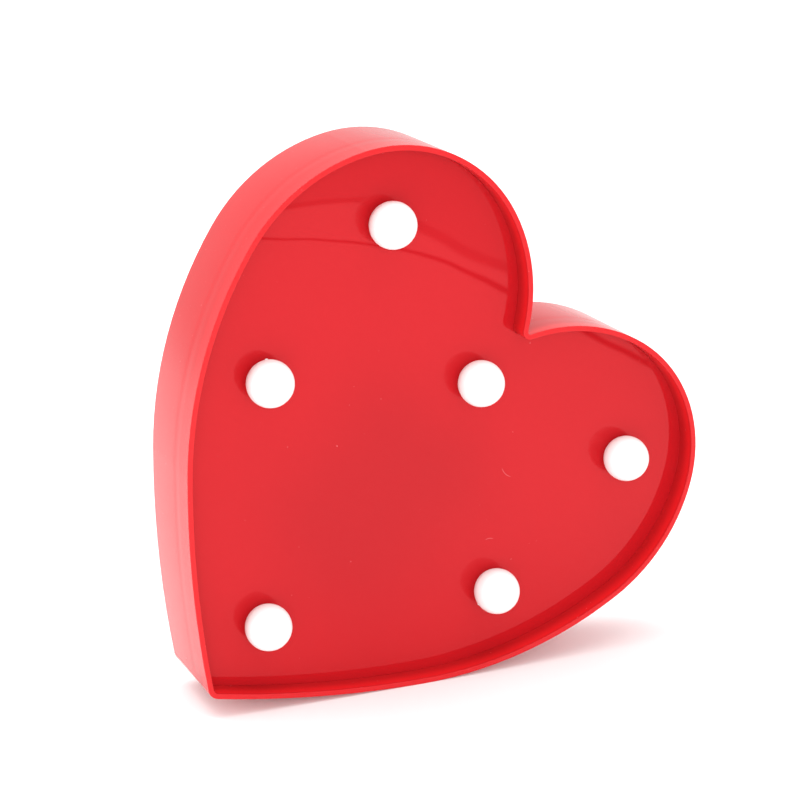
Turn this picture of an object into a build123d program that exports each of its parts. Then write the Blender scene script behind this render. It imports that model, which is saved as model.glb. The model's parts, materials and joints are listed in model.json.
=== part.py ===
from build123d import *
import os
from math import asin, atan2, cos, degrees, hypot, pi, radians, sin, sqrt, tan

os.makedirs("parts", exist_ok=True)

# A heart-shaped marquee light: a red plastic shell with a glossy face set back behind a thin
# rim, six globe bulbs on the face, and a back cover with the battery bay and the switch.
#
# The model is made lying on its back and then stood up at the very end.
# Lying frame, in millimetres: X across the heart, Y along its axis from the tip to the notch,
# Z from the shell's back edge (0) to the front of the rim.

# ---- heart outline: tangent arcs of the right half, from the tip round to the notch ----
tip_half_angle = 55.9
flank_radius = 390.0
flank_turn_angle = 11.6
side_radius = 146.0
side_turn_angle = 30.9
shoulder_radius = 64.3
shoulder_turn_angle = 45.3
lobe_radius = 49.6
lobe_turn_angle = 74.1
notch_depth = 28.46
tip_round = 4.0
notch_round = 1.0

# ---- shell ----
depth = 36.7
wall = 1.85
recess = 8.15
face_thickness = 1.8
panel_clearance = 0.05
ledge_width = 2.4
ledge_thickness = 1.6
rim_round = 0.25
back_round = 0.3

# ---- bulbs: place of each station on the face ----
low_bulb_height = 30.7
high_bulb_height = 140.1
side_bulb_reach = 59.7
side_bulb_height = 91.6
lobe_bulb_reach = 64.3
lobe_bulb_height = 157.1

# ---- 5 mm LED ----
led_radius = 2.5
led_length = 8.7
led_flange_radius = 2.9
led_flange_thickness = 1.0
lead_size = 0.5
lead_pitch = 2.54
lead_length = 6.0

# ---- bulb cap: a globe that seats on the face, with a neck through it ----
globe_radius = 8.0
globe_wall = 1.0
globe_floor = 0.6
led_to_neck = 0.9
neck_wall = 1.6
seat_ledge = 0.5
neck_clearance = 0.15
neck_grip = 3.0

# ---- LED holder: a collar behind the face ----
holder_clearance = 0.1
holder_wall = 1.5
holder_flange = 1.8
holder_flange_thickness = 1.2
holder_length = 9.0
septum_thickness = 1.4
neck_end_gap = 0.2
led_clearance = 0.05
led_flange_clearance = 0.3

# ---- back cover ----
cover_thickness = 2.2
cover_inset = 0.8
cover_gap = 0.3

# ---- screws and their bosses ----
screw_radius = 1.25
screw_length = 8.0
screw_head_radius = 2.3
screw_head_height = 1.3
screw_clearance = 0.05
head_clearance = 0.25
counterbore_depth = 1.2
recess_width = 0.7
recess_depth = 0.8
recess_share = 0.6
boss_radius = 3.5
boss_gap = 3.0
boss_hole_depth = 11.0
boss_rib_thickness = 1.2
boss_rib_height = 12.0

# ---- battery bay for two AA cells ----
cell_radius = 7.25
cell_length = 49.5
cell_button_radius = 2.75
cell_button_height = 1.0
cell_gap = 0.7
cell_play = 0.2
bay_to_holder = 5.2
bay_wall = 2.0
door_ledge = 0.9
bay_floor = 1.2
latch_room = 1.5
contact_thickness = 0.4
contact_width = 11.0
tab_width = 3.0
tab_reach = 3.0
tab_clearance = 0.1
spring_wire_radius = 0.3
spring_radius = 3.4
spring_length = 5.0
spring_turns = 4
cradle_thickness = 1.0
cradle_height = 4.0

# ---- battery door ----
door_thickness = 2.1
door_gap = 0.3
door_under_gap = 0.4
pin_radius = 0.6
pin_length = 1.2
pin_clearance = 0.05
latch_width = 12.0
latch_length = 6.0
latch_thickness = 1.0
latch_clearance = 0.2
hook_reach = 0.6
hook_height = 1.2
hook_drop = 3.0
finger_radius = 6.0
finger_depth = 1.1
grip_count = 3
grip_length = 12.0
grip_width = 0.8
grip_height = 0.3
grip_pitch = 2.4

# ---- slide switch ----
switch_gap = 12.0
switch_length = 11.0
switch_width = 5.6
switch_height = 5.0
switch_flange_length = 19.6
switch_flange_thickness = 0.5
switch_hole_pitch = 15.0
switch_post_radius = 2.0
switch_post_height = 3.0
switch_screw_radius = 0.9
switch_screw_length = 4.0
switch_screw_head_radius = 1.8
switch_screw_head_height = 1.2
lever_width = 3.0
lever_thickness = 2.6
lever_depth_inside = 1.5
lever_back_gap = 0.2
lever_travel = 3.0
lever_clearance = 0.3
groove_half_width = 0.25
groove_pitch = 0.75
terminal_size = 0.6
terminal_length = 3.5
terminal_pitch = 3.0
pocket_margin = 1.8
pocket_depth = 1.0

# ---- keyhole for a nail or a screw head ----
keyhole_radius = 4.25
keyhole_slot_radius = 2.1
keyhole_slot_length = 8.0
keyhole_drop = 22.0
keyhole_pocket_margin = 0.8
keyhole_pocket_depth = 3.8
keyhole_pocket_wall = 1.2

# ---- harness ----
wire_radius = 0.5
positive_level = 12.2
negative_level = 9.8
solder_gap = 0.1
splice_length = 2.0
feed_level = 13.4
feed_rise = 3.4
feed_scoop = 1.2
feed_clearance = 5.0
resistor_radius = 1.2
resistor_length = 6.3
resistor_lead = 1.5
resistor_lead_radius = 0.3

# ---- direction from the heart's middle towards its tip ----
tip_direction = -90.0

# ---- how it stands: leaning over on its curved side, seen from the front ----
stand_lean = 45.8

# ---- levels worked out from the sizes above ----
face_front = depth - recess
face_back = face_front - face_thickness
cover_back = cover_inset
cover_front = cover_inset + cover_thickness
neck_bore = led_radius + led_to_neck
neck_radius = neck_bore + neck_wall
seat_radius = neck_radius + seat_ledge
globe_height = sqrt(globe_radius**2 - seat_radius**2)
door_front = cover_back + door_thickness
cell_axis_level = door_front + door_under_gap + cell_radius
bay_floor_level = cell_axis_level + cell_radius + cell_play
bay_top = bay_floor_level + bay_floor
cell_offset = cell_radius + cell_gap / 2
holder_radius = neck_radius + holder_clearance + holder_wall
holder_flange_radius = holder_radius + holder_flange
bay_half_width = cell_offset + cell_radius + cell_play
bay_upper = high_bulb_height - holder_flange_radius - bay_to_holder - bay_wall
bay_height = bay_upper - bay_half_width
bay_half_length = (cell_length + cell_button_height + spring_length) / 2 + contact_thickness
bay_lower = bay_height - bay_half_width - latch_room
switch_height_on_axis = bay_lower - bay_wall - switch_gap
post_top = cover_front + switch_post_height
boss_inset = wall + boss_gap + boss_radius


def cylinder(radius, low, high):
    """A round bar about Z between two levels."""
    return Pos(0, 0, (low + high) / 2) * Cylinder(radius, high - low)


def block(x_low, x_high, y_low, y_high, z_low, z_high):
    """A box given by its faces."""
    centre = Pos((x_low + x_high) / 2, (y_low + y_high) / 2, (z_low + z_high) / 2)
    return centre * Box(x_high - x_low, y_high - y_low, z_high - z_low)


# ------------------------------------------------------------------ outline


def arc_point(arc, heading):
    """Point of an arc where the outline runs in the given direction.

    An arc is its centre's X and Y and its radius, then its first and last heading. A positive
    radius turns left, round the heart's inside, and a negative one turns right.
    """
    centre_x, centre_y, radius = arc[:3]
    return (
        centre_x + radius * sin(radians(heading)),
        centre_y - radius * cos(radians(heading)),
    )


def given_arcs():
    """The right half's arcs of given radius and turn, from the sharp tip to past the lobe."""
    turning = (
        (flank_radius, flank_turn_angle),
        (side_radius, side_turn_angle),
        (shoulder_radius, shoulder_turn_angle),
        (lobe_radius, lobe_turn_angle),
    )
    heading = 90 - tip_half_angle
    x = 0.0
    y = 0.0
    arcs = []
    for radius, turn in turning:
        centre_x = x - radius * sin(radians(heading))
        centre_y = y + radius * cos(radians(heading))
        arcs.append((centre_x, centre_y, radius, heading, heading + turn))
        heading += turn
        x, y = arc_point(arcs[-1], heading)
    return arcs


def notch_level():
    """Height of the sharp notch on the axis, below the tops of the lobes."""
    centre_y, radius = given_arcs()[-1][1:3]
    return centre_y + radius - notch_depth


def side_arcs():
    """The right half's long arcs, from the sharp tip to the sharp notch.

    The last leaves the lobe's arc tangentially and ends on the axis at the notch.
    """
    arcs = given_arcs()
    heading = arcs[-1][4]
    x, y = arc_point(arcs[-1], heading)
    notch_height = notch_level()
    along = -x * cos(radians(heading)) + (notch_height - y) * sin(radians(heading))
    across = x * sin(radians(heading)) + (notch_height - y) * cos(radians(heading))
    radius = (along**2 + across**2) / (2 * across)
    centre_x = x - radius * sin(radians(heading))
    centre_y = y + radius * cos(radians(heading))
    last_heading = heading + 2 * degrees(atan2(across, along))
    arcs.append((centre_x, centre_y, radius, heading, last_heading))
    return arcs


def rounded_arcs(inset):
    """The right half's arcs moved inwards, with rounds at the tip and the notch.

    Moving an arc inwards keeps its centre, so neighbours stay tangent. The tip's round shrinks
    with the inset, and past its radius the two flanks meet in a sharp corner.
    """
    arcs = side_arcs()
    x, y, radius, start, end = arcs[0]
    tip_radius = tip_round if tip_round > inset else inset
    start = degrees(asin(-x / (radius - tip_radius)))
    arcs[0] = (x, y, radius, start, end)
    if tip_round > inset:
        tip_y = y - sqrt((radius - tip_round) ** 2 - x**2)
        arcs.insert(0, (0.0, tip_y, tip_round, 0.0, start))
    x, y, radius, start, end = arcs[-1]
    end = 180 + degrees(asin(x / (radius + notch_round)))
    arcs[-1] = (x, y, radius, start, end)
    notch_y = y + sqrt((radius + notch_round) ** 2 - x**2)
    arcs.append((0.0, notch_y, -notch_round, end, 180.0))
    return [(x, y, radius - inset, start, end) for x, y, radius, start, end in arcs]


def heart_face(inset):
    """The heart as a flat face, its edge moved inwards by the inset."""
    edges = []
    for arc in rounded_arcs(inset):
        start, end = arc[3:]
        points = [arc_point(arc, heading) for heading in (start, (start + end) / 2, end)]
        edges.append(ThreePointArc(*points))
        edges.append(ThreePointArc(*[(-x, y) for x, y in points]))
    return make_face(edges).face()


def heart_plate(inset, low, high):
    """A flat heart between two levels, its edge moved inwards by the inset."""
    return Pos(0, 0, low) * extrude(heart_face(inset), high - low, dir=(0, 0, 1))


def perimeter_place(arc_number, share):
    """Centre and outward direction of a boss beside the wall, on a given arc."""
    x, y, radius, start, end = side_arcs()[arc_number]
    heading = start + share * (end - start)
    return arc_point((x, y, radius - boss_inset), heading), heading - 90


def boss_places():
    """Each boss's centre and the direction of the wall nearest to it, in degrees."""
    places = [((0.0, boss_inset / sin(radians(tip_half_angle))), tip_direction)]
    for arc_number, share in ((0, 0.8), (1, 0.9), (3, 0.3)):
        (x, y), direction = perimeter_place(arc_number, share)
        places.append(((x, y), direction))
        places.append(((-x, y), 180 - direction))
    return places


def bulb_places():
    """The six stations in the order of the wiring, from the tip round to the right side."""
    return [
        (0.0, low_bulb_height),
        (-side_bulb_reach, side_bulb_height),
        (-lobe_bulb_reach, lobe_bulb_height),
        (0.0, high_bulb_height),
        (lobe_bulb_reach, lobe_bulb_height),
        (side_bulb_reach, side_bulb_height),
    ]


# ------------------------------------------------------------------ shell


def boss_with_rib(place, direction):
    """A screw boss behind the face panel, tied to the wall by a rib, and its pilot hole."""
    boss = cylinder(boss_radius, cover_front, face_back)
    rib_end = boss_inset - wall / 2
    rib_low = face_back - boss_rib_height
    half = boss_rib_thickness / 2
    rib = Rot(0, 0, direction) * block(0, rib_end, -half, half, rib_low, face_back)
    hole = cylinder(
        screw_radius + screw_clearance, cover_front - 1, cover_front + boss_hole_depth
    )
    return Pos(*place) * (boss + rib), Pos(*place) * hole


def front_shell():
    """The side wall with the ledge that carries the face panel, and the screw bosses."""
    shell = heart_plate(0, 0, depth)
    shell -= heart_plate(wall, face_back, depth + 1)
    shell -= heart_plate(wall + ledge_width, face_back - ledge_thickness - 1, face_back + 1)
    shell -= heart_plate(wall, -1, face_back - ledge_thickness)
    rim = shell.edges().group_by(Axis.Z)[-1]
    shell = fillet(rim, min(rim_round, wall / 3))
    back_edge = shell.edges().group_by(Axis.Z)[0]
    shell = fillet(back_edge, min(back_round, wall / 3))
    holes = []
    for place, direction in boss_places():
        boss, hole = boss_with_rib(place, direction)
        shell += boss
        holes.append(hole)
    return shell - holes


def face_panel():
    """The glossy panel that lies on the shell's ledge, with a hole for each bulb's neck."""
    hole = cylinder(neck_radius + neck_clearance, face_back - 1, face_front + 1)
    holes = [Pos(*place) * hole for place in bulb_places()]
    return heart_plate(wall + panel_clearance, face_back, face_front) - holes


# ------------------------------------------------------------------ bulbs, about Z, 0 at the face


def bulb_cap():
    """A hollow globe cut flat where it seats on the face, with its neck."""
    globe = Pos(0, 0, globe_height) * Sphere(globe_radius)
    globe -= cylinder(2 * globe_radius, -2 * globe_radius, 0)
    neck_end = -face_thickness - neck_grip
    globe += cylinder(neck_radius, neck_end, globe_floor)
    hollow = Pos(0, 0, globe_height) * Sphere(globe_radius - globe_wall)
    hollow -= cylinder(2 * globe_radius, -2 * globe_radius, globe_floor)
    bore = cylinder(neck_bore, neck_end - 1, globe_floor + globe_wall)
    return globe - hollow - bore


def led_seat():
    """Level of the face that the LED's flange rests against, below the face plate."""
    return -face_thickness - neck_grip - neck_end_gap - septum_thickness


def led_holder():
    """A collar that grips the neck from behind and carries the LED on its septum."""
    top = -face_thickness
    bottom = top - holder_length
    holder = cylinder(holder_radius, bottom, top)
    holder += cylinder(holder_flange_radius, top - holder_flange_thickness, top)
    holder -= cylinder(holder_radius - holder_wall, led_seat() + septum_thickness, top + 1)
    holder -= cylinder(led_radius + led_clearance, led_seat() - 1, top)
    holder -= cylinder(led_flange_radius + led_flange_clearance, bottom - 1, led_seat())
    return holder


def led():
    """A round LED pointing up into the globe, with its two leads."""
    seat = led_seat()
    base = seat - led_flange_thickness
    dome = base + led_length - led_radius
    body = cylinder(led_flange_radius, base, seat)
    body += cylinder(led_radius, seat, dome)
    body += Pos(0, 0, dome) * Sphere(led_radius)
    half = lead_size / 2
    for x in (-lead_pitch / 2, lead_pitch / 2):
        body += block(x - half, x + half, -half, half, base - lead_length, base + half)
    return body


# ------------------------------------------------------------------ back cover


def door_outline(gap):
    """X and Y limits of the battery door's opening, made smaller by a gap."""
    half = bay_half_length + door_ledge - gap
    return -half, half, bay_lower - door_ledge + gap, bay_upper + door_ledge - gap


def hinge_line():
    """Height on the axis and level of the door's hinge."""
    edge = door_outline(door_gap)[3]
    return edge - door_thickness / 2, cover_back + door_thickness / 2


def hinge_pins(radius, length):
    """The two hinge pins, or their holes, at the ends of the hinge line."""
    y, z = hinge_line()
    half = door_outline(door_gap)[1]
    pin = Rot(0, 90, 0) * cylinder(radius, half - length, half + length)
    return Pos(0, y, z) * (pin + mirror(pin, Plane.YZ))


def contact_tabs():
    """X, Y of the centre of each solder tab: positive, then negative."""
    x = bay_half_length - contact_thickness / 2
    return (x, bay_height - cell_offset), (x, bay_height + cell_offset)


def battery_bay():
    """The bay's walls and floor inside the cover, with its cradle rib and tab slots."""
    half = bay_half_length
    x_out = half + bay_wall
    outer = block(
        -x_out, x_out, bay_lower - bay_wall, bay_upper + bay_wall, cover_front, bay_top
    )
    inner = block(-half, half, bay_lower, bay_upper, cover_front - 1, bay_floor_level)
    rib_half = (cell_length - contact_width) / 2
    rib = block(
        -rib_half, rib_half,
        bay_height - cradle_thickness / 2, bay_height + cradle_thickness / 2,
        bay_floor_level - cradle_height, bay_floor_level,
    )
    bay = outer - inner + rib
    for x, y in contact_tabs():
        slot_x = contact_thickness / 2 + tab_clearance
        slot_y = tab_width / 2 + tab_clearance
        bay -= block(
            x - slot_x, x + slot_x, y - slot_y, y + slot_y, bay_floor_level - 1, bay_top + 1
        )
    window_top = door_front + hook_drop + hook_height
    window_half = latch_width / 2 + latch_clearance
    bay -= block(
        -window_half, window_half, bay_lower - bay_wall - 1, bay_lower + 1,
        door_front + hook_drop - 2 * latch_clearance, window_top + 2 * latch_clearance,
    )
    return bay


def switch_opening():
    """The finger pocket and the slot that the lever moves in."""
    half_run = (lever_width + lever_travel) / 2 + lever_clearance
    half_wide = lever_thickness / 2 + lever_clearance
    y = switch_height_on_axis
    slot = block(
        -half_run, half_run, y - half_wide, y + half_wide, cover_back - 1, cover_front + 1
    )
    pocket = block(
        -half_run - pocket_margin, half_run + pocket_margin,
        y - half_wide - pocket_margin, y + half_wide + pocket_margin,
        cover_back - 1, cover_back + pocket_depth,
    )
    corners = pocket.edges().filter_by(Axis.Z)
    return slot + fillet(corners, pocket_margin)


def switch_posts():
    """The two posts that the switch is screwed to, and their blind holes."""
    posts = []
    holes = []
    for x in (-switch_hole_pitch / 2, switch_hole_pitch / 2):
        place = Pos(x, switch_height_on_axis, 0)
        hole_end = post_top - switch_screw_length
        posts.append(place * cylinder(switch_post_radius, cover_front, post_top))
        holes.append(
            place * cylinder(switch_screw_radius + screw_clearance, hole_end, post_top + 1)
        )
    return posts, holes


def keyhole():
    """Round entry with a narrower slot above it, for hanging on a nail or a screw head."""
    entry_height = notch_level() - keyhole_drop
    top = entry_height + keyhole_slot_length
    low = cover_back - 1
    high = cover_front + 1
    entry = Pos(0, entry_height, 0) * cylinder(keyhole_radius, low, high)
    end = Pos(0, top, 0) * cylinder(keyhole_slot_radius, low, high)
    neck = block(-keyhole_slot_radius, keyhole_slot_radius, entry_height, top, low, high)
    return entry + end + neck


def keyhole_pocket():
    """A closed pocket inside the cover that keeps a screw head away from the wires."""
    reach = keyhole_radius + keyhole_pocket_margin
    low = notch_level() - keyhole_drop - reach
    high = notch_level() - keyhole_drop + keyhole_slot_length + reach
    roof = cover_front + keyhole_pocket_depth
    skin = keyhole_pocket_wall
    outer = block(-reach - skin, reach + skin, low - skin, high + skin, cover_front, roof + skin)
    return outer - block(-reach, reach, low, high, cover_front, roof)


def back_cover():
    """The heart plate in the back of the shell, with everything moulded on it."""
    cover = heart_plate(wall + cover_gap, cover_back, cover_front)
    cover += battery_bay()
    cover -= block(*door_outline(0), cover_back - 1, cover_front)
    posts, post_holes = switch_posts()
    cover += posts
    cover -= post_holes
    cover -= switch_opening()
    cover += keyhole_pocket()
    cover -= keyhole()
    cover -= hinge_pins(pin_radius + pin_clearance, pin_length + door_gap)
    finger_y = door_outline(0)[2]
    cover -= Pos(0, finger_y, 0) * cylinder(finger_radius, cover_back - 1, cover_back + finger_depth)
    for place, direction in boss_places():
        cover -= Pos(*place) * cylinder(
            screw_head_radius + head_clearance, cover_back - 1, cover_back + counterbore_depth
        )
        cover -= Pos(*place) * cylinder(
            screw_radius + screw_clearance, cover_back - 1, cover_front + 1
        )
    return cover


# ------------------------------------------------------------------ battery door


def battery_door():
    """The door plate with its rounded hinge edge, hinge pins, latch tongue and grip ribs."""
    x_low, x_high, y_low, y_high = door_outline(door_gap)
    hinge_y, hinge_z = hinge_line()
    door = block(x_low, x_high, y_low, hinge_y, cover_back, door_front)
    edge = Rot(0, 90, 0) * cylinder(door_thickness / 2, x_low, x_high)
    door += Pos(0, hinge_y, hinge_z) * edge
    door += hinge_pins(pin_radius, pin_length)
    tongue_low = bay_lower + latch_clearance
    tongue_high = tongue_low + latch_thickness
    half = latch_width / 2
    door += block(-half, half, tongue_low, tongue_high, door_front, door_front + latch_length)
    hook_low = door_front + hook_drop
    door += block(
        -half, half, tongue_low - latch_clearance - hook_reach, tongue_low,
        hook_low, hook_low + hook_height,
    )
    for number in range(grip_count):
        y = y_low + grip_pitch * (number + 1)
        door += block(
            -grip_length / 2, grip_length / 2, y - grip_width / 2, y + grip_width / 2,
            cover_back - grip_height, cover_back,
        )
    return door


# ------------------------------------------------------------------ cells and contacts


def cell(button_side):
    """An AA cell lying along X, its button towards +X or -X, between its two contacts."""
    half = cell_length / 2
    body = Rot(0, 90, 0) * cylinder(cell_radius, -half, half)
    body = fillet(body.edges().filter_by(GeomType.CIRCLE), cell_gap / 2)
    button = cylinder(cell_button_radius, half, half + cell_button_height)
    body += Rot(0, 90 * button_side, 0) * button
    button_contact = bay_half_length - contact_thickness
    shift = button_side * (button_contact - cell_button_height - half)
    return Pos(shift, bay_height - button_side * cell_offset, cell_axis_level) * body


def contact_plate(x_low, y_low, y_high):
    """A sheet contact standing against an end wall of the bay."""
    return block(
        x_low, x_low + contact_thickness, y_low, y_high,
        cell_axis_level - contact_width / 2, cell_axis_level + contact_width / 2,
    )


def end_contact(place):
    """A single contact with a solder tab through the bay's floor."""
    x, y = place
    x_low = bay_half_length - contact_thickness
    plate = contact_plate(x_low, y - contact_width / 2, y + contact_width / 2)
    plate += block(
        x_low, bay_half_length, y - tab_width / 2, y + tab_width / 2,
        cell_axis_level, bay_top + tab_reach,
    )
    return plate


def contact_bridge():
    """The plate that joins the two cells at the other end."""
    reach = cell_offset + contact_width / 2
    return contact_plate(-bay_half_length, bay_height - reach, bay_height + reach)


def contact_spring(side):
    """The coil spring on a negative contact, along X towards the cell."""
    pitch = (spring_length - 2 * spring_wire_radius) / spring_turns
    path = Helix(pitch, spring_length - 2 * spring_wire_radius, spring_radius)
    section = Plane(origin=path @ 0, z_dir=path % 0) * Circle(spring_wire_radius)
    coil = Pos(0, 0, spring_wire_radius) * sweep(section, path)
    start = bay_half_length - contact_thickness
    coil = Pos(-side * start, 0, 0) * (Rot(0, 90 * side, 0) * coil)
    return Pos(0, bay_height - side * cell_offset, cell_axis_level) * coil


# ------------------------------------------------------------------ switch


def switch_body():
    """Metal can with its mounting flange and three terminals."""
    y = switch_height_on_axis
    flange = block(
        -switch_flange_length / 2, switch_flange_length / 2,
        y - switch_width / 2, y + switch_width / 2,
        post_top, post_top + switch_flange_thickness,
    )
    can_low = post_top + switch_flange_thickness
    can_high = can_low + switch_height
    can = block(
        -switch_length / 2, switch_length / 2,
        y - switch_width / 2, y + switch_width / 2, can_low, can_high,
    )
    body = flange + can
    half = terminal_size / 2
    for number in (-1, 0, 1):
        x = number * terminal_pitch
        body += block(
            x - half, x + half, y - half, y + half, can_high, can_high + terminal_length
        )
    run = (lever_width + lever_travel) / 2 + lever_clearance
    wide = lever_thickness / 2 + lever_clearance
    body -= block(
        -run, run, y - wide, y + wide, post_top - 1, post_top + lever_depth_inside + lever_clearance
    )
    for x in (-switch_hole_pitch / 2, switch_hole_pitch / 2):
        body -= Pos(x, y, 0) * cylinder(
            switch_screw_radius + screw_clearance, post_top - 1, can_low + 1
        )
    return body


def switch_lever():
    """The lever at the OFF end of its travel, with three grip grooves on its tip."""
    y = switch_height_on_axis
    centre = -lever_travel / 2
    tip = lever_back_gap
    lever = block(
        centre - lever_width / 2, centre + lever_width / 2,
        y - lever_thickness / 2, y + lever_thickness / 2,
        tip, post_top + lever_depth_inside,
    )
    for number in (-1, 0, 1):
        x = centre + number * groove_pitch
        lever -= block(
            x - groove_half_width, x + groove_half_width,
            y - lever_thickness, y + lever_thickness,
            tip - 1, tip + groove_half_width,
        )
    return lever


# ------------------------------------------------------------------ screws


def cross_recess(radius, top):
    """A cross cut into a screw head whose outer face is at a level, facing down Z."""
    half = recess_width / 2
    reach = radius * recess_share
    low = top - 1
    high = top + recess_depth
    return block(-reach, reach, -half, half, low, high) + block(-half, half, -reach, reach, low, high)


def cover_screws():
    """One self-tapping screw in each boss, its head in the cover's counterbore."""
    seat = cover_back + counterbore_depth
    screw = cylinder(screw_head_radius, seat - screw_head_height, seat)
    screw += cylinder(screw_radius, seat, seat + screw_length - screw_radius)
    tip = Cone(screw_radius, screw_radius / 4, screw_radius)
    screw += Pos(0, 0, seat + screw_length - screw_radius / 2) * tip
    screw -= cross_recess(screw_head_radius, seat - screw_head_height)
    return Part() + [Pos(*place) * screw for place, direction in boss_places()]


def switch_screws():
    """The two small screws that hold the switch on its posts."""
    seat = post_top + switch_flange_thickness
    tip = seat - switch_screw_length
    screw = cylinder(switch_screw_head_radius, seat, seat + switch_screw_head_height)
    screw += cylinder(switch_screw_radius, tip + switch_flange_thickness, seat)
    places = [Pos(side * switch_hole_pitch / 2, switch_height_on_axis, 0) for side in (-1, 1)]
    return Part() + [place * screw for place in places]


# ------------------------------------------------------------------ harness


def travel(number):
    """Direction in which the wires pass a station, in degrees: from the last to the next."""
    places = bulb_places()
    x = 0.0
    y = 0.0
    for start, end in zip(places, places[1:]):
        if places[number] in (start, end):
            length = hypot(end[0] - start[0], end[1] - start[1])
            x += (end[0] - start[0]) / length
            y += (end[1] - start[1]) / length
    return degrees(atan2(y, x))


def lead_end():
    """Level of the ends of the LED leads."""
    return face_front + led_seat() - led_flange_thickness - lead_length


def splice(number, polarity, side):
    """X, Y beside a lead, on the side the wires arrive (-1) or leave (1).

    The polarity is 1 for the positive lead and -1 for the negative one.
    """
    x, y = bulb_places()[number]
    along = radians(travel(number))
    across = along - pi / 2
    out = polarity * lead_pitch / 2
    beside = side * (lead_size / 2 + solder_gap + wire_radius)
    return (
        x + out * cos(across) + beside * cos(along),
        y + out * sin(across) + beside * sin(along),
    )


def bend_radii(points):
    """Bend at each inner point: nearly as large as the shorter of its two runs allows."""
    radii = []
    for before, here, after in zip(points, points[1:], points[2:]):
        arriving = Vector(*here) - Vector(*before)
        leaving = Vector(*after) - Vector(*here)
        half_turn = radians(arriving.get_angle(leaving) / 2)
        radii.append(0.45 * min(arriving.length, leaving.length) / tan(half_turn))
    return radii


def wire(points):
    """A round insulated wire along straight runs joined by tangent bends."""
    path = FilletPolyline(*points, radius=bend_radii(points))
    section = Plane(origin=path @ 0, z_dir=path % 0) * Circle(wire_radius)
    return sweep(section, path)


def chain_wires(polarity, level):
    """The wires of one polarity from each station to the next."""
    top = lead_end() + splice_length
    slant = (lead_end() - level) / 2
    wires = []
    for number in range(len(bulb_places()) - 1):
        first = splice(number, polarity, 1)
        second = splice(number + 1, polarity, -1)
        length = hypot(second[0] - first[0], second[1] - first[1])
        step_x = slant * (second[0] - first[0]) / length
        step_y = slant * (second[1] - first[1]) / length
        wires.append(
            wire([
                (*first, top),
                (*first, level + slant),
                (first[0] + step_x, first[1] + step_y, level),
                (second[0] - step_x, second[1] - step_y, level),
                (*second, level + slant),
                (*second, top),
            ])
        )
    return wires


def terminal_side(number, side):
    """X, Y beside a switch terminal, counted -1, 0, 1 along the switch."""
    beside = terminal_size / 2 + solder_gap + wire_radius
    return number * terminal_pitch, switch_height_on_axis + side * beside


def terminal_root():
    """Level just inside the switch's can, where a wire beside a terminal starts."""
    return post_top + switch_flange_thickness + switch_height + wire_radius + solder_gap


def switch_wire():
    """From the positive contact's tab over the bay's floor to the switch."""
    tab_x, tab_y = contact_tabs()[0]
    x = tab_x - contact_thickness / 2 - solder_gap - wire_radius
    end_x, end_y = terminal_side(1, 1)
    low = bay_top + wire_radius
    return wire([
        (x, tab_y, low),
        (x, tab_y, low + feed_rise),
        ((2 * x + end_x) / 3, (2 * tab_y + end_y) / 3, low + feed_rise),
        (end_x, end_y, terminal_root() + feed_rise),
        (end_x, end_y, terminal_root()),
    ])


def resistor_span():
    """The resistor's X and its two ends, on the line from the switch to the first station."""
    x, y = splice(0, 1, -1)
    middle = (switch_height_on_axis + y) / 2
    return x, middle + resistor_length / 2, middle - resistor_length / 2


def positive_feed():
    """From the switch to the resistor, and from the resistor to the first station."""
    x, far, near = resistor_span()
    start_x, start_y = terminal_side(0, -1)
    end_x, end_y = splice(0, 1, -1)
    far += resistor_lead + solder_gap
    near -= resistor_lead + solder_gap
    first = wire([
        (start_x, start_y, terminal_root()),
        (start_x, start_y, terminal_root() + feed_rise),
        (x, (start_y + far) / 2, feed_level),
        (x, far, feed_level),
    ])
    second = wire([
        (x, near, feed_level),
        (x, (near + end_y) / 2, feed_level - feed_scoop),
        (end_x, end_y, feed_level),
        (end_x, end_y, lead_end() + splice_length),
    ])
    return [first, second]


def resistor():
    """A resistor in line with the positive wire, with its short leads."""
    x, far, near = resistor_span()
    half = resistor_length / 2
    body = cylinder(resistor_radius, -half, half)
    body = fillet(body.edges().filter_by(GeomType.CIRCLE), resistor_lead_radius)
    body += cylinder(resistor_lead_radius, -half - resistor_lead, half + resistor_lead)
    return Pos(x, (far + near) / 2, feed_level) * Rot(90, 0, 0) * body


def negative_feed():
    """From the negative contact's tab round the end of the bay to the first station."""
    tab_x, tab_y = contact_tabs()[1]
    x = tab_x + contact_thickness / 2 + solder_gap + wire_radius
    beside = bay_half_length + bay_wall + feed_clearance
    end_x, end_y = splice(0, -1, -1)
    low = bay_top + wire_radius
    return wire([
        (x, tab_y, low),
        (x, tab_y, low + feed_rise / 2),
        (x + feed_rise / 2, tab_y - feed_rise / 2, low + feed_rise),
        (beside, bay_height, low - feed_rise),
        (beside, bay_lower, feed_level),
        (beside / 2, end_y + feed_rise, feed_level - feed_scoop),
        (end_x + feed_rise, end_y, feed_level - 2 * feed_scoop),
        (end_x, end_y, feed_level - feed_scoop / 2),
        (end_x, end_y, lead_end() + splice_length),
    ])


# ------------------------------------------------------------------ assembly


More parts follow.
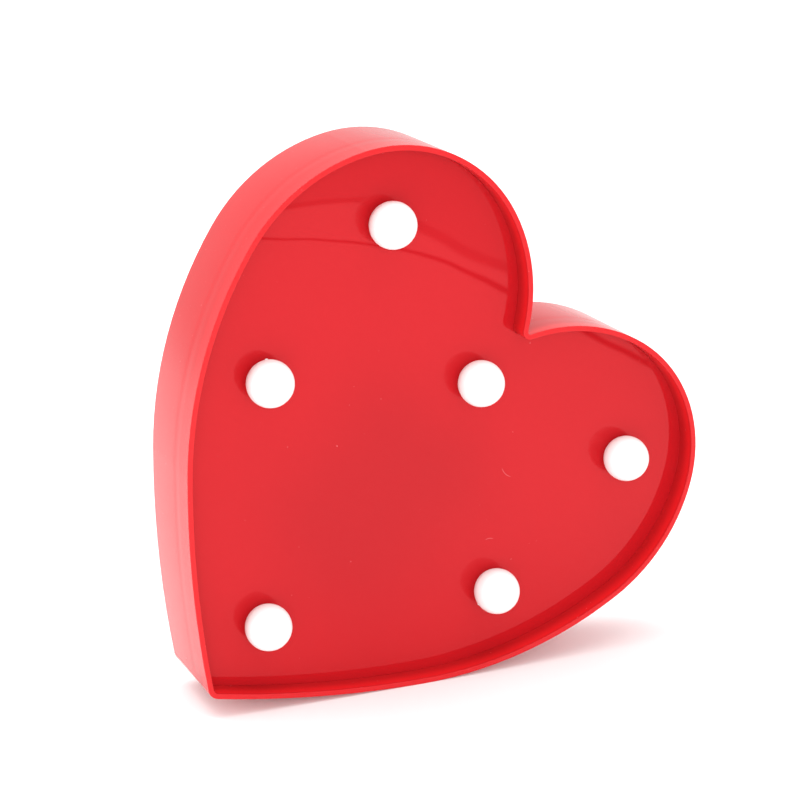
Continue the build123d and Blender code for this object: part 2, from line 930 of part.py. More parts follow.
def assembly():
    """Every node in the lying frame."""
    nodes = {
        "front_shell": front_shell(),
        "face_panel": face_panel(),
        "back_cover": back_cover(),
        "battery_door": battery_door(),
        "battery_1": cell(1),
        "battery_2": cell(-1),
        "contact_positive": end_contact(contact_tabs()[0]),
        "contact_negative": end_contact(contact_tabs()[1]),
        "contact_bridge": contact_bridge(),
        "contact_springs": contact_spring(1) + contact_spring(-1),
        "switch_body": switch_body(),
        "switch_lever": switch_lever(),
        "cover_screws": cover_screws(),
        "switch_screws": switch_screws(),
        "resistor": resistor(),
        "wire_switch": switch_wire(),
        "wire_positive": Part() + chain_wires(1, positive_level) + positive_feed(),
        "wire_negative": Part() + chain_wires(-1, negative_level) + negative_feed(),
    }
    for number, (x, y) in enumerate(bulb_places()):
        station = Pos(x, y, face_front)
        turned = station * Rot(0, 0, travel(number) + 90)
        nodes[f"bulb_cap_{number + 1}"] = station * bulb_cap()
        nodes[f"led_holder_{number + 1}"] = station * led_holder()
        nodes[f"led_{number + 1}"] = turned * led()
    return nodes


def standing(shell):
    """The move that stands the light on its side, its lowest line on the floor at the origin."""
    turn = Rot(0, stand_lean, 0) * Rot(90, 0, 0)
    box = (turn * shell).bounding_box()
    front = max(depth, face_front + globe_height + globe_radius)
    return Pos(-(box.min.X + box.max.X) / 2, front / 2, -box.min.Z) * turn


if __name__ == "__main__":
    pieces = assembly()
    move = standing(pieces["front_shell"])
    for node, piece in pieces.items():
        export_step(Compound([move * solid for solid in piece.solids()]), f"parts/{node}.step")
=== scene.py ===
# %% [markdown]
# # Finishing a heart marquee light
#
# The object is a small battery light: a shallow red heart-shaped tray of glossy plastic, six
# round opal bulbs standing on its face, and a satin back cover with a battery bay, a slide
# switch and a keyhole. It rests on one flank, as it does on a shelf.
#
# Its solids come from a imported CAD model, which is loaded first and never moved. The lesson
# then gives every solid a finish made of nodes, adds the fine pieces that a solid model leaves
# out, and sets up the light and the camera.

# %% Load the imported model
import json
from math import cos, pi, radians, sin

import bmesh
import bpy
import numpy as np
from mathutils import Matrix, Vector


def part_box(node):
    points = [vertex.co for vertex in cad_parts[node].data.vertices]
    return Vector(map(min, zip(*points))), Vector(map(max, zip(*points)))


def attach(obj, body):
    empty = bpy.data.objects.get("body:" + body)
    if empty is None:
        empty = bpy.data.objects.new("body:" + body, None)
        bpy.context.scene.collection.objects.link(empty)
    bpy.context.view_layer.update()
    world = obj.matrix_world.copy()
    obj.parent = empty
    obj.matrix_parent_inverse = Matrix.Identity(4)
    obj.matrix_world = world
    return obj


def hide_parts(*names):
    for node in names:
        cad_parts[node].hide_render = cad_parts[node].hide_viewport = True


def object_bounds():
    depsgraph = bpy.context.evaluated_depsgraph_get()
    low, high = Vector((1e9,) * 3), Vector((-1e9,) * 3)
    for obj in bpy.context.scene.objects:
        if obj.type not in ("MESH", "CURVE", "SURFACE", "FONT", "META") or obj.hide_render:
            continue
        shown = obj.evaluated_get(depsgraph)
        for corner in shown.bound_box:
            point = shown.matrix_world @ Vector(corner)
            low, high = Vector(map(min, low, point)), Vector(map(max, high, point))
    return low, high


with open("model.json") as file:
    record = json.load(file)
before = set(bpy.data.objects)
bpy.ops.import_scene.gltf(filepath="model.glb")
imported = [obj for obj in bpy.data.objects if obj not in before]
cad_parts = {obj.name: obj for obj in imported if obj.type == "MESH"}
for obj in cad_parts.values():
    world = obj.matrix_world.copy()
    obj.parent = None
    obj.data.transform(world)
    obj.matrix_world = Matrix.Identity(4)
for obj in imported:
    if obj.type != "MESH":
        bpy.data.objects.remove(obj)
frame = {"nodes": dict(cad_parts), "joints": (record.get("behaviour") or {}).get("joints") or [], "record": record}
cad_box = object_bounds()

millimetre = 0.001
nodes = frame["nodes"]
print("nodes in the packed model:", len(nodes))
print("its box, in millimetres:",
      [[round(v / millimetre, 1) for v in corner] for corner in cad_box])

# %% [markdown]
# ## The heart's own axes
#
# The light leans on its flank, so the model's x and z don't follow the heart. Two directions do:
# `across`, which the door's hinge and the switch's slide share, and `upward`, from the tip to the
# notch. The keyhole is on the line of symmetry, so a place on the heart is given as so far across
# and so far up from the keyhole. The depth is the model's y: the back is at the high end.

# %% Find the heart's axes from the joints and the hanger
joints = {joint["name"]: joint for joint in frame["joints"]}
mounts = {mount["name"]: mount for mount in frame["record"]["mounts"]}
across = Vector(joints["door_hinge"]["axis"]).normalized()
backward = Vector((0.0, 1.0, 0.0))
upward = backward.cross(across)
if upward.z < 0:
    upward = -upward
keyhole = Vector(mounts["hanger"]["pos_m"])
print("across:", [round(v, 3) for v in across], "upward:", [round(v, 3) for v in upward])


def heart_place(along_across, along_upward, depth):
    """A point so far across and up from the keyhole, at a depth along y, in metres."""
    place = keyhole + across * along_across + upward * along_upward
    place.y = depth
    return place


# %% [markdown]
# ## Light, floor and camera
#
# A small glossy object is lit best by a large pale surrounding: the gloss then mirrors something
# even. The world is a pale dome, a sheet of pale paper is the floor, and four soft panels give
# the shape its light and dark sides. The front panel is hidden from mirrored rays: seen from
# behind, its image in the side wall would bleach the wall to the white of the paper.

# %% Pale world and soft panels
scene = bpy.context.scene
scene.view_settings.view_transform = "Standard"

dome_strength = 1.0
world = bpy.data.worlds.new("pale_dome")
world.use_nodes = True
sky = world.node_tree.nodes["Background"]
sky.inputs["Color"].default_value = (1.0, 1.0, 1.0, 1.0)
sky.inputs["Strength"].default_value = dome_strength
scene.world = world

middle = (Vector(cad_box[0]) + Vector(cad_box[1])) / 2


def soft_panel(name, place, size, watts):
    """A square area lamp of a given size, at a place in metres, turned to face the heart."""
    lamp = bpy.data.lights.new(name, "AREA")
    lamp.shape = "SQUARE"
    lamp.size = size
    lamp.energy = watts
    holder = bpy.data.objects.new(name, lamp)
    holder.location = place
    holder.rotation_euler = (middle - Vector(place)).to_track_quat("-Z", "Y").to_euler()
    scene.collection.objects.link(holder)
    return holder


panel_front = soft_panel("panel_front", (-0.30, -1.05, 0.27), 0.8, 5.8)
panel_front.visible_glossy = False
soft_panel("panel_left", (-1.0, 0.25, 0.35), 0.7, 2.6)
soft_panel("panel_back", (-0.4, 0.55, 1.15), 0.8, 6.5)
soft_panel("panel_above", (0.1, -0.1, 1.2), 0.9, 5.5)

# %% [markdown]
# ## The camera
#
# The view is from the left of the light and a little above it, through a lens long enough to
# keep the heart's sides nearly parallel. The place follows from two angles, a distance and the
# point that the lens is aimed at.

# %% Camera on its two angles
view_azimuth = radians(-23.56)
view_elevation = radians(16.88)
view_distance = 820.67 * millimetre
aim = Vector((-10.80, 5.39, 97.47)) * millimetre
toward_camera = Vector((
    sin(view_azimuth) * cos(view_elevation),
    -cos(view_azimuth) * cos(view_elevation),
    sin(view_elevation),
))
lens = bpy.data.cameras.new("camera")
lens.sensor_width = 36.0
lens.lens = 107.28
lens.clip_start = 0.01
camera = bpy.data.objects.new("camera", lens)
camera.location = aim + toward_camera * view_distance
camera.rotation_euler = (-toward_camera).to_track_quat("-Z", "Y").to_euler()
scene.collection.objects.link(camera)
scene.camera = camera
print("camera at, in millimetres:", [round(v / millimetre, 1) for v in camera.location])

# %% [markdown]
# ## Shader arithmetic in Python
#
# A finish is a network of nodes. Written out link by link it is hard to read, so two small
# classes hide the links. `Value` wraps one output of a node and turns Python's operators into
# Math nodes. `Finish` is a material: its one method `node` adds any other node from its type,
# its settings and what its inputs are fed.

# %% The Value class
class Value:
    """One output of a node. Each arithmetic operator adds a Math node and gives its output."""

    def __init__(self, finish, socket):
        self.finish = finish
        self.socket = socket

    def math(self, operation, *inputs):
        return self.finish.node("ShaderNodeMath", {"operation": operation}, dict(enumerate(inputs)))

    def __add__(self, other):
        return self.math("ADD", self, other)

    def __radd__(self, other):
        return self.math("ADD", other, self)

    def __sub__(self, other):
        return self.math("SUBTRACT", self, other)

    def __rsub__(self, other):
        return self.math("SUBTRACT", other, self)

    def __mul__(self, other):
        return self.math("MULTIPLY", self, other)

    def __rmul__(self, other):
        return self.math("MULTIPLY", other, self)

    def __truediv__(self, other):
        return self.math("DIVIDE", self, other)

    def __pow__(self, other):
        return self.math("POWER", self, other)

    def __abs__(self):
        return self.math("ABSOLUTE", self)

    def maximum(self, other):
        return self.math("MAXIMUM", self, other)


# %% The Finish class
class Finish:
    """A material whose surface is one Principled shader, with short ways to add nodes to it."""

    def __init__(self, name, **constants):
        self.material = bpy.data.materials.new(name)
        self.material.use_nodes = True
        self.tree = self.material.node_tree
        self.shader = self.tree.nodes["Principled BSDF"]
        self.feed(self.shader, {key.replace("_", " "): value for key, value in constants.items()})

    def feed(self, node, inputs):
        """Gives a node's inputs their values, or links them where the value is a Value."""
        for key, value in inputs.items():
            socket = node.inputs[key]
            if isinstance(value, Value):
                self.tree.links.new(value.socket, socket)
            elif hasattr(socket.default_value, "__len__"):
                width = len(socket.default_value)
                socket.default_value = (*value, 1.0)[:width]
            else:
                socket.default_value = value

    def node(self, kind, settings=None, inputs=None, output=0):
        """Adds a node of a type: its settings first, then its inputs. Gives one output."""
        added = self.tree.nodes.new(kind)
        for key, value in (settings or {}).items():
            setattr(added, key, value)
        self.feed(added, inputs or {})
        return Value(self, added.outputs[output])

    def surface(self, **inputs):
        """Feeds the shader's own inputs."""
        self.feed(self.shader, {key.replace("_", " "): value for key, value in inputs.items()})

    def place(self):
        """The point's own place in the model, in metres."""
        return self.node("ShaderNodeTexCoord", output="Object")

    def parts(self, vector):
        """The x, y and z of a vector."""
        first = self.node("ShaderNodeSeparateXYZ", inputs={0: vector})
        return [Value(self, output) for output in first.socket.node.outputs]

    def along(self, direction, origin=(0.0, 0.0, 0.0)):
        """Distance of the point from an origin, measured along a unit direction, in metres."""
        shifted = self.node(
            "ShaderNodeVectorMath", {"operation": "SUBTRACT"}, {0: self.place(), 1: origin}
        )
        return self.node(
            "ShaderNodeVectorMath", {"operation": "DOT_PRODUCT"},
            {0: shifted, 1: direction}, output="Value",
        )

    def noise(self, size, detail=2.0, roughness=0.5, stretch=(1.0, 1.0, 1.0), shift=0.0):
        """Smooth noise from 0 to 1, with lumps of about a size in metres."""
        stretched = self.node(
            "ShaderNodeMapping",
            inputs={"Vector": self.place(), "Scale": stretch, "Location": (shift, shift, shift)},
        )
        return self.node(
            "ShaderNodeTexNoise",
            inputs={"Vector": stretched, "Scale": 1 / size, "Detail": detail,
                    "Roughness": roughness},
        )

    def band(self, value, low, high, to_low=0.0, to_high=1.0):
        """A smooth step of a value, from to_low at low to to_high at high."""
        return self.node(
            "ShaderNodeMapRange", {"interpolation_type": "SMOOTHSTEP"},
            {"Value": value, "From Min": low, "From Max": high,
             "To Min": to_low, "To Max": to_high},
        )

    def blend(self, share, first, second):
        """A colour between two, by a share from 0 to 1."""
        return self.node(
            "ShaderNodeMix", {"data_type": "RGBA"}, {0: share, 6: first, 7: second}, output=2
        )

    def bump(self, height, distance):
        """A normal bent as if the surface stood proud by height times a distance in metres."""
        return self.node(
            "ShaderNodeBump", inputs={"Height": height, "Distance": distance, "Strength": 1.0}
        )


def dress(finish, *names):
    """Gives CAD nodes a finish in place of their plain material."""
    for name in names:
        mesh = nodes[name].data
        mesh.materials.clear()
        mesh.materials.append(finish.material)
    return len(names)


# %% [markdown]
# ## Red gloss plastic: the tray
#
# The tray is moulded in one piece from a polystyrene or ABS that is red right through. A polished
# mould leaves it glossy but not optically flat: it has a slow waviness, a fine peel, a faint sink
# line where the inner ledge meets the wall, and a slight bow behind the ledge. After handling it
# has fine scratches, which dull the gloss, and a little dust.
#
# In front of the ledge the wall stands free, and there its red is painted brighter: the brim is
# painted light, which stands in for more light on that part of the wall. The rounded lip at its
# very edge is kept nearer the plain red, so the painted light stops short of the rim.
#
# The red is nearly pure, so the white light that the surface mirrors shows as pink. That comes
# from the shader's own gloss, and isn't painted in.

# %% Red gloss finish
rim_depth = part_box("front_shell")[0].y
ledge_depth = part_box("face_panel")[1].y

red_gloss = Finish("red_gloss", IOR=1.5, Specular_IOR_Level=0.20)
_, depth, _ = red_gloss.parts(red_gloss.place())
clouding = red_gloss.noise(0.045, detail=3.0)
red = red_gloss.blend(clouding, (0.49, 0.0100, 0.0135), (0.54, 0.0120, 0.0155))
lip = red_gloss.band(
    depth, rim_depth + 0.1 * millimetre, rim_depth + 1.6 * millimetre, 1.0, 0.0
)
# Painted light: the wall in front of the ledge gets a brighter red, fading out towards the ledge.
brim_painted_light = red_gloss.band(
    depth, rim_depth + 1.0 * millimetre, ledge_depth - 3.0 * millimetre, 1.0, 0.0
)
# Mixes in the painted light of the brim, then takes most of it back on the lip.
red = red_gloss.blend(brim_painted_light, red, (0.76, 0.0150, 0.0190))
red = red_gloss.blend(lip * 0.8, red, (0.56, 0.0150, 0.0190))
scuffs = red_gloss.band(red_gloss.noise(0.0016, detail=4.0, roughness=0.65), 0.60, 0.72)
dust = red_gloss.band(red_gloss.noise(0.0006, detail=1.0, shift=0.31), 0.80, 0.83)
hairlines = red_gloss.band(
    red_gloss.noise(0.0011, detail=2.0, stretch=(0.12, 1.0, 0.8), shift=0.5), 0.66, 0.72
)
gloss = 0.165 + clouding * 0.05 + scuffs * 0.05 + hairlines * 0.05
ledge_half = 1.6 * millimetre
sink = red_gloss.band(abs(depth - ledge_depth - ledge_half), 0.0, 3.5 * millimetre)
crown = ((depth - ledge_depth) / millimetre).maximum(0.0) ** 2
waves = red_gloss.noise(0.022, detail=1.0)
peel = red_gloss.noise(0.0035, detail=1.0, shift=0.7)
relief = sink * 0.05 + waves * 0.06 + peel * 0.004 - crown * 0.0010
red_gloss.surface(
    Base_Color=red_gloss.blend(dust, red, (0.82, 0.30, 0.32)),
    Roughness=gloss,
    Normal=red_gloss.bump(relief, millimetre),
)
print("pieces in red gloss:", dress(red_gloss, "front_shell"))

# %% [markdown]
# ## Red mirror gloss: the face
#
# The face is moulded against a highly polished plate, so it mirrors the bulbs and the wall
# around it crisply. Its roughness is low, and it shows a few dust specks, short scratches and
# two small arcs where something was dragged round on it. Each arc is worked out from a circle.
# What it mirrors comes back tinted by the red, so the shader's mirrored colour is red too.
# Along the heart's axis below the keyhole, where the battery box stands close behind the face,
# the red is painted deeper: a painted shade.

# %% A curved scratch on the face
def curved_scratch(finish, along_across, along_upward, radius, lean):
    """A thin arc, as a share from 0 to 1: near a circle's line, and within a sector of it.

    The arc's middle is a place on the heart. It bulges in a direction that leans by so many
    degrees from upward towards across.
    """
    bulge = across * sin(radians(lean)) + upward * cos(radians(lean))
    centre = heart_place(along_across, along_upward, ledge_depth) - bulge * radius
    toward = finish.along(bulge, centre)
    sideways = finish.along(bulge.cross(backward), centre)
    from_line = abs((toward**2 + sideways**2) ** 0.5 - radius)
    line = finish.band(from_line, 0.04 * millimetre, 0.16 * millimetre, 1.0, 0.0)
    return line * finish.band(toward, radius * 0.84, radius * 0.95)


# %% Red mirror finish
red_mirror = Finish(
    "red_mirror_gloss", IOR=1.5, Specular_IOR_Level=1.0, Specular_Tint=(1.0, 0.190, 0.200)
)
clouding = red_mirror.noise(0.06, detail=2.0)
red = red_mirror.blend(clouding, (0.450, 0.0082, 0.0125), (0.485, 0.0094, 0.0142))
from_middle = abs(red_mirror.along(across, keyhole))
height_up = red_mirror.along(upward, keyhole)
beside_middle = red_mirror.band(from_middle, 6 * millimetre, 58 * millimetre, 1.0, 0.0)
above_its_foot = red_mirror.band(height_up, -110 * millimetre, -70 * millimetre)
below_its_head = red_mirror.band(height_up, -35 * millimetre, 0.0, 1.0, 0.0)
# Painted shade: a patch along the axis below the keyhole gets a deeper red.
painted_shade_on_axis = beside_middle * above_its_foot * below_its_head
red = red_mirror.blend(painted_shade_on_axis, red, (0.402, 0.0076, 0.0116))
specks = red_mirror.band(red_mirror.noise(0.0009, detail=1.0, shift=0.2), 0.80, 0.82)
scratches = red_mirror.band(
    red_mirror.noise(0.0014, detail=2.0, stretch=(1.0, 1.0, 0.10), shift=0.9), 0.74, 0.78
)
long_arc = curved_scratch(
    red_mirror, 34.3 * millimetre, -16.5 * millimetre, radius=5.0 * millimetre, lean=180
)
short_arc = curved_scratch(
    red_mirror, 46.7 * millimetre, -36.8 * millimetre, radius=3.0 * millimetre, lean=-46
)
arcs = long_arc.maximum(short_arc)
waves = red_mirror.noise(0.03, detail=1.0)
red_mirror.surface(
    Base_Color=red_mirror.blend(specks.maximum(arcs * 0.3), red, (0.85, 0.32, 0.34)),
    Roughness=0.012 + clouding * 0.008 + scratches * 0.10 + arcs * 0.10,
    Normal=red_mirror.bump(waves * 0.05 + specks * 0.02, millimetre),
)
print("pieces in red mirror gloss:", dress(red_mirror, "face_panel"))

# %% [markdown]
# ## Red satin: the back cover and the battery door
#
# The back is moulded against a spark-eroded plate, which leaves a fine even grain. Handling
# polishes it where fingers reach, so the gloss varies slowly over it. Raised letters wear first:
# only their tops stand this far behind the cover's face, so the depth alone tells where they are.

# %% Red satin finish
cover_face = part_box("back_cover")[1].y
letter_proud = 0.45 * millimetre
red_satin = Finish("red_satin", IOR=1.5)
_, depth, _ = red_satin.parts(red_satin.place())
clouding = red_satin.noise(0.05, detail=3.0)
grain = red_satin.noise(0.0006, detail=3.0, roughness=0.7)
rubbed = red_satin.band(red_satin.noise(0.018, detail=3.0, shift=0.4), 0.50, 0.75)
red = red_satin.blend(clouding, (0.46, 0.0060, 0.0100), (0.54, 0.0080, 0.0130))
red = red_satin.blend(rubbed * 0.5, red, (0.56, 0.0105, 0.0160))
worn_top = red_satin.band(
    depth, cover_face + letter_proud * 0.80, cover_face + letter_proud * 0.98
)
red_satin.surface(
    Base_Color=red_satin.blend(worn_top, red, (0.66, 0.040, 0.045)),
    Roughness=0.48 - rubbed * 0.14 + grain * 0.08 - worn_top * 0.12,
    Normal=red_satin.bump(grain, 0.07 * millimetre),
)
print("pieces in red satin:", dress(red_satin, "back_cover", "battery_door"))

# %% [markdown]
# ## Opal white: the bulbs
#
# Each bulb is a thin moulded globe of milky polyethylene. Light soaks a millimetre or two into
# it before it comes out, which softens its shading.

# %% Opal finish
opal = Finish(
    "globe_white", IOR=1.5, Specular_IOR_Level=0.22,
    Subsurface_Weight=0.08, Subsurface_Scale=0.002, Subsurface_Radius=(1.0, 0.9, 0.85),
)
clouding = opal.noise(0.006, detail=2.0)
peel = opal.noise(0.0012, detail=2.0)
opal.surface(
    Base_Color=opal.blend(clouding, (0.93, 0.925, 0.92), (0.96, 0.955, 0.95)),
    Roughness=0.30 + clouding * 0.10,
    Normal=opal.bump(peel, 0.02 * millimetre),
)
bulbs = [f"bulb_cap_{number}" for number in range(1, 7)]
print("pieces in opal:", dress(opal, *bulbs))

# %% [markdown]
# ## Metals: screws, contacts and the switch's case
#
# The screws are zinc-plated steel, the battery contacts nickel-plated spring steel, and the
# switch's case is tinned sheet. All are the same idea: a metal whose gloss is broken by fine
# marks and by slow clouds where the plating has dulled. One function makes all three from a
# colour, a dulled colour and a roughness.

# %% Plated metals
def plated_metal(name, bright, dulled, roughness):
    """Plating that has dulled in clouds, with fine marks from tumbling."""
    metal = Finish(name, Metallic=1.0)
    clouds = metal.band(metal.noise(0.0022, detail=3.0), 0.35, 0.75)
    marks = metal.noise(0.00025, detail=2.0, roughness=0.7)
    metal.surface(
        Base_Color=metal.blend(clouds, bright, dulled),
        Roughness=roughness + clouds * 0.12 + marks * 0.10,
        Normal=metal.bump(marks, 0.006 * millimetre),
    )
    return metal


screw_steel = plated_metal("screw_steel", (0.62, 0.61, 0.58), (0.42, 0.41, 0.39), 0.24)
contact_metal = plated_metal("contact_metal", (0.72, 0.70, 0.65), (0.52, 0.50, 0.45), 0.18)
switch_metal = plated_metal("switch_metal", (0.66, 0.66, 0.66), (0.50, 0.50, 0.49), 0.30)
contacts = [f"contact_{part}" for part in ("positive", "negative", "bridge", "springs")]
print("metal pieces:", dress(screw_steel, "cover_screws", "switch_screws")
      + dress(contact_metal, *contacts) + dress(switch_metal, "switch_body"))

# %% [markdown]
# ## Plain plastics inside and at the back
#
# The slide's lever is black nylon, polished on its tip by thumbs. The LED collars are white
# nylon. Wire insulation is soft PVC with a satin skin. One function makes all four.

# %% Small mouldings and insulation
def moulded(name, colour, worn, roughness, grain_size):
    """A moulded plastic whose grain wears smooth and a little paler in patches."""
    plastic = Finish(name, IOR=1.5)
    patches = plastic.band(plastic.noise(0.004, detail=3.0), 0.45, 0.75)
    grain = plastic.noise(grain_size, detail=2.0)
    plastic.surface(
        Base_Color=plastic.blend(patches, colour, worn),
        Roughness=roughness - patches * 0.10 + grain * 0.06,
        Normal=plastic.bump(grain, 0.02 * millimetre),
    )
    return plastic


black_plastic = moulded("black_plastic", (0.012, 0.012, 0.013), (0.03, 0.03, 0.032), 0.42, 0.0004)
holder_white = moulded("holder_white", (0.78, 0.78, 0.75), (0.84, 0.84, 0.82), 0.40, 0.0006)
wire_red = moulded("wire_red", (0.42, 0.006, 0.006), (0.50, 0.012, 0.010), 0.36, 0.0009)
wire_black = moulded("wire_black", (0.008, 0.008, 0.008), (0.016, 0.016, 0.016), 0.36, 0.0009)
holders = [f"led_holder_{number}" for number in range(1, 7)]
print("plastic pieces:", dress(black_plastic, "switch_lever") + dress(holder_white, *holders)
      + dress(wire_red, "wire_switch", "wire_positive") + dress(wire_black, "wire_negative"))

# %% [markdown]
# ## Clear epoxy: the LEDs
#
# A 5 mm LED is cast in clear epoxy. It bends light like glass, and its surface has slight flow
# marks from the casting cup.

# %% LED epoxy
led_clear = Finish("led_clear", IOR=1.54, Transmission_Weight=1.0)
flow = led_clear.noise(0.0012, detail=1.0)
led_clear.surface(
    Base_Color=led_clear.blend(flow, (0.93, 0.94, 0.90), (0.97, 0.97, 0.95)),
    Roughness=0.05 + flow * 0.05,
    Normal=led_clear.bump(flow, 0.01 * millimetre),
)
leds = [f"led_{number}" for number in range(1, 7)]
print("pieces in clear epoxy:", dress(led_clear, *leds))

# %% [markdown]
# ## Where a node lies along the heart's axes
#
# The cells and the resistor are long pieces laid along the heart's own axes, so their stripes
# and the pieces that stand for them need their ends along those axes. They are read from the
# node's own points.

# %% Measure a node along a direction
def node_span(name, direction):
    """Lowest and highest reach of a CAD node along a unit direction, in metres."""
    mesh = nodes[name].data
    points = np.empty(len(mesh.vertices) * 3)
    mesh.vertices.foreach_get("co", points)
    reach = points.reshape(-1, 3) @ np.array(direction)
    return reach.min(), reach.max()


resistor_low, resistor_high = node_span("resistor", upward)
print("resistor length, mm:", round((resistor_high - resistor_low) / millimetre, 2))

# %% [markdown]
# ## The resistor's coat and bands
#
# One small resistor sets the LEDs' current. Its coat is tan epoxy with painted rings, which are
# where the distance along its length falls within half a ring's width of a ring's place.

# %% Resistor finish
resistor_coat = Finish("resistor_coat", IOR=1.5)
share = (resistor_coat.along(upward) - resistor_low) / (resistor_high - resistor_low)
speckle = resistor_coat.noise(0.0004, detail=2.0)
coat = resistor_coat.blend(speckle, (0.50, 0.34, 0.15), (0.58, 0.41, 0.20))
ring_colours = ((0.25, 0.06, 0.01), (0.01, 0.01, 0.01), (0.02, 0.02, 0.02), (0.55, 0.36, 0.06))
for ring_place, ring_colour in zip((0.36, 0.44, 0.52, 0.64), ring_colours):
    ring = resistor_coat.band(abs(share - ring_place), 0.020, 0.024, 1.0, 0.0)
    coat = resistor_coat.blend(ring, coat, ring_colour)
resistor_coat.surface(
    Base_Color=coat,
    Roughness=0.30 + speckle * 0.10,
    Normal=resistor_coat.bump(speckle, 0.02 * millimetre),
)
print("resistors:", dress(resistor_coat, "resistor"))

# %% [markdown]
# ## Making surfaces with numpy
#
# A new piece is a grid of points, worked out as whole arrays. Joining each point with its
# neighbours gives the faces. Where a row of the grid shrinks to one point, as at a pole, the
# doubled points are merged, and then the faces are turned to point outwards.

# %% From a grid of points to a mesh
def grid_piece(name, points, finish, body="light"):
    """A mesh from an (m, n, 3) array of points, whose last column is joined to the first."""
    rows, columns = points.shape[:2]
    i, j = np.meshgrid(np.arange(rows - 1), np.arange(columns), indexing="ij")
    right = (j + 1) % columns
    corners = (i * columns + j, i * columns + right,
               (i + 1) * columns + right, (i + 1) * columns + j)
    faces = np.stack(corners, axis=-1).reshape(-1, 4)
    mesh = bpy.data.meshes.new(name)
    mesh.from_pydata(points.reshape(-1, 3).tolist(), [], faces.tolist())
    shell = bmesh.new()
    shell.from_mesh(mesh)
    bmesh.ops.remove_doubles(shell, verts=shell.verts, dist=0.001 * millimetre)
    bmesh.ops.recalc_face_normals(shell, faces=shell.faces)
    shell.to_mesh(mesh)
    shell.free()
    mesh.shade_smooth()
    mesh.set_sharp_from_angle(angle=radians(50))
    mesh.materials.append(finish.material)
    piece = bpy.data.objects.new(name, mesh)
    scene.collection.objects.link(piece)
    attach(piece, body)
    return piece


# %% [markdown]
# ## The cells
#
# An AA cell is a steel can in a printed sleeve that is folded over both ends. The button, its
# insulating washer and the recessed ring of the flat end are what make it read as a cell, and
# the solid model has only a plain cylinder. So each cell is made again as a profile turned
# round its axis, with the same length and radius, and stands for the CAD node.
#
# The profile is a line of corners, and each corner is softened by a quadratic curve.

# %% A profile with softened corners, turned round an axis
def softened(corners, cut, steps=5):
    """A line through corners, each cut back by a distance and joined by a quadratic curve.

    With A and B the points where the cut starts and ends, and P the corner, the curve is
    (1 - t)^2 A + 2 t (1 - t) P + t^2 B.
    """
    corners = np.array(corners)
    before = corners[:-2] - corners[1:-1]
    after = corners[2:] - corners[1:-1]
    reach_before = np.linalg.norm(before, axis=1, keepdims=True)
    reach_after = np.linalg.norm(after, axis=1, keepdims=True)
    start = corners[1:-1] + before / reach_before * np.minimum(cut, reach_before * 0.45)
    end = corners[1:-1] + after / reach_after * np.minimum(cut, reach_after * 0.45)
    t = np.linspace(0.0, 1.0, steps)[None, :, None]
    middle_pull = 2 * t * (1 - t) * corners[1:-1, None]
    curve = (1 - t) ** 2 * start[:, None] + middle_pull + t**2 * end[:, None]
    return np.vstack([corners[:1], curve.reshape(-1, 2), corners[-1:]])


def turned(profile, base, axis, segments=64):
    """A profile of (distance along the axis, radius) turned round the axis from a base point.

    The point at distance s and angle a is base + s * axis + r(s) * (cos a * e1 + sin a * e2),
    with e1 and e2 two directions square to the axis.
    """
    axis = Vector(axis).normalized()
    first = axis.orthogonal().normalized()
    second = axis.cross(first)
    angle = np.linspace(0.0, 2 * pi, segments, endpoint=False)
    spoke = np.cos(angle)[:, None] * np.array(first) + np.sin(angle)[:, None] * np.array(second)
    distance, radius = profile[:, 0], profile[:, 1]
    return (np.array(base) + distance[:, None, None] * np.array(axis)
            + radius[:, None, None] * spoke[None])


# %% The cell's profile
cell_low, cell_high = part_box("battery_1")
cell_radius = (cell_high.y - cell_low.y) / 2
cell_axis_y = (cell_high.y + cell_low.y) / 2
cell_start, cell_end = node_span("battery_1", across)
cell_whole = cell_end - cell_start
button_height = 1.0 * millimetre
can_length = cell_whole - button_height
fold = 0.35 * millimetre
cell_profile = softened([
    (fold, 0.0),
    (fold * 0.2, 3.0 * millimetre),
    (0.0, 4.2 * millimetre),
    (fold * 1.6, 4.8 * millimetre),
    (fold * 1.6, 5.9 * millimetre),
    (0.0, 6.2 * millimetre),
    (0.0, cell_radius),
    (can_length, cell_radius),
    (can_length, 6.0 * millimetre),
    (can_length - fold, 5.8 * millimetre),
    (can_length - fold, 3.6 * millimetre),
    (can_length - fold * 0.4, 2.75 * millimetre),
    (cell_whole, 2.6 * millimetre),
    (cell_whole, 0.0),
], 0.25 * millimetre)
print("cell length and radius, mm:",
      round(cell_whole / millimetre, 2), round(cell_radius / millimetre, 2))

# %% [markdown]
# ## The sleeve's print
#
# The sleeve is plain: dark graphite with a pale band at the button end, and a plus and a minus
# sign by the ends so that the cell goes in the right way round. The print is worked out from
# two distances: along the cell from its flat end, and sideways from its middle line.

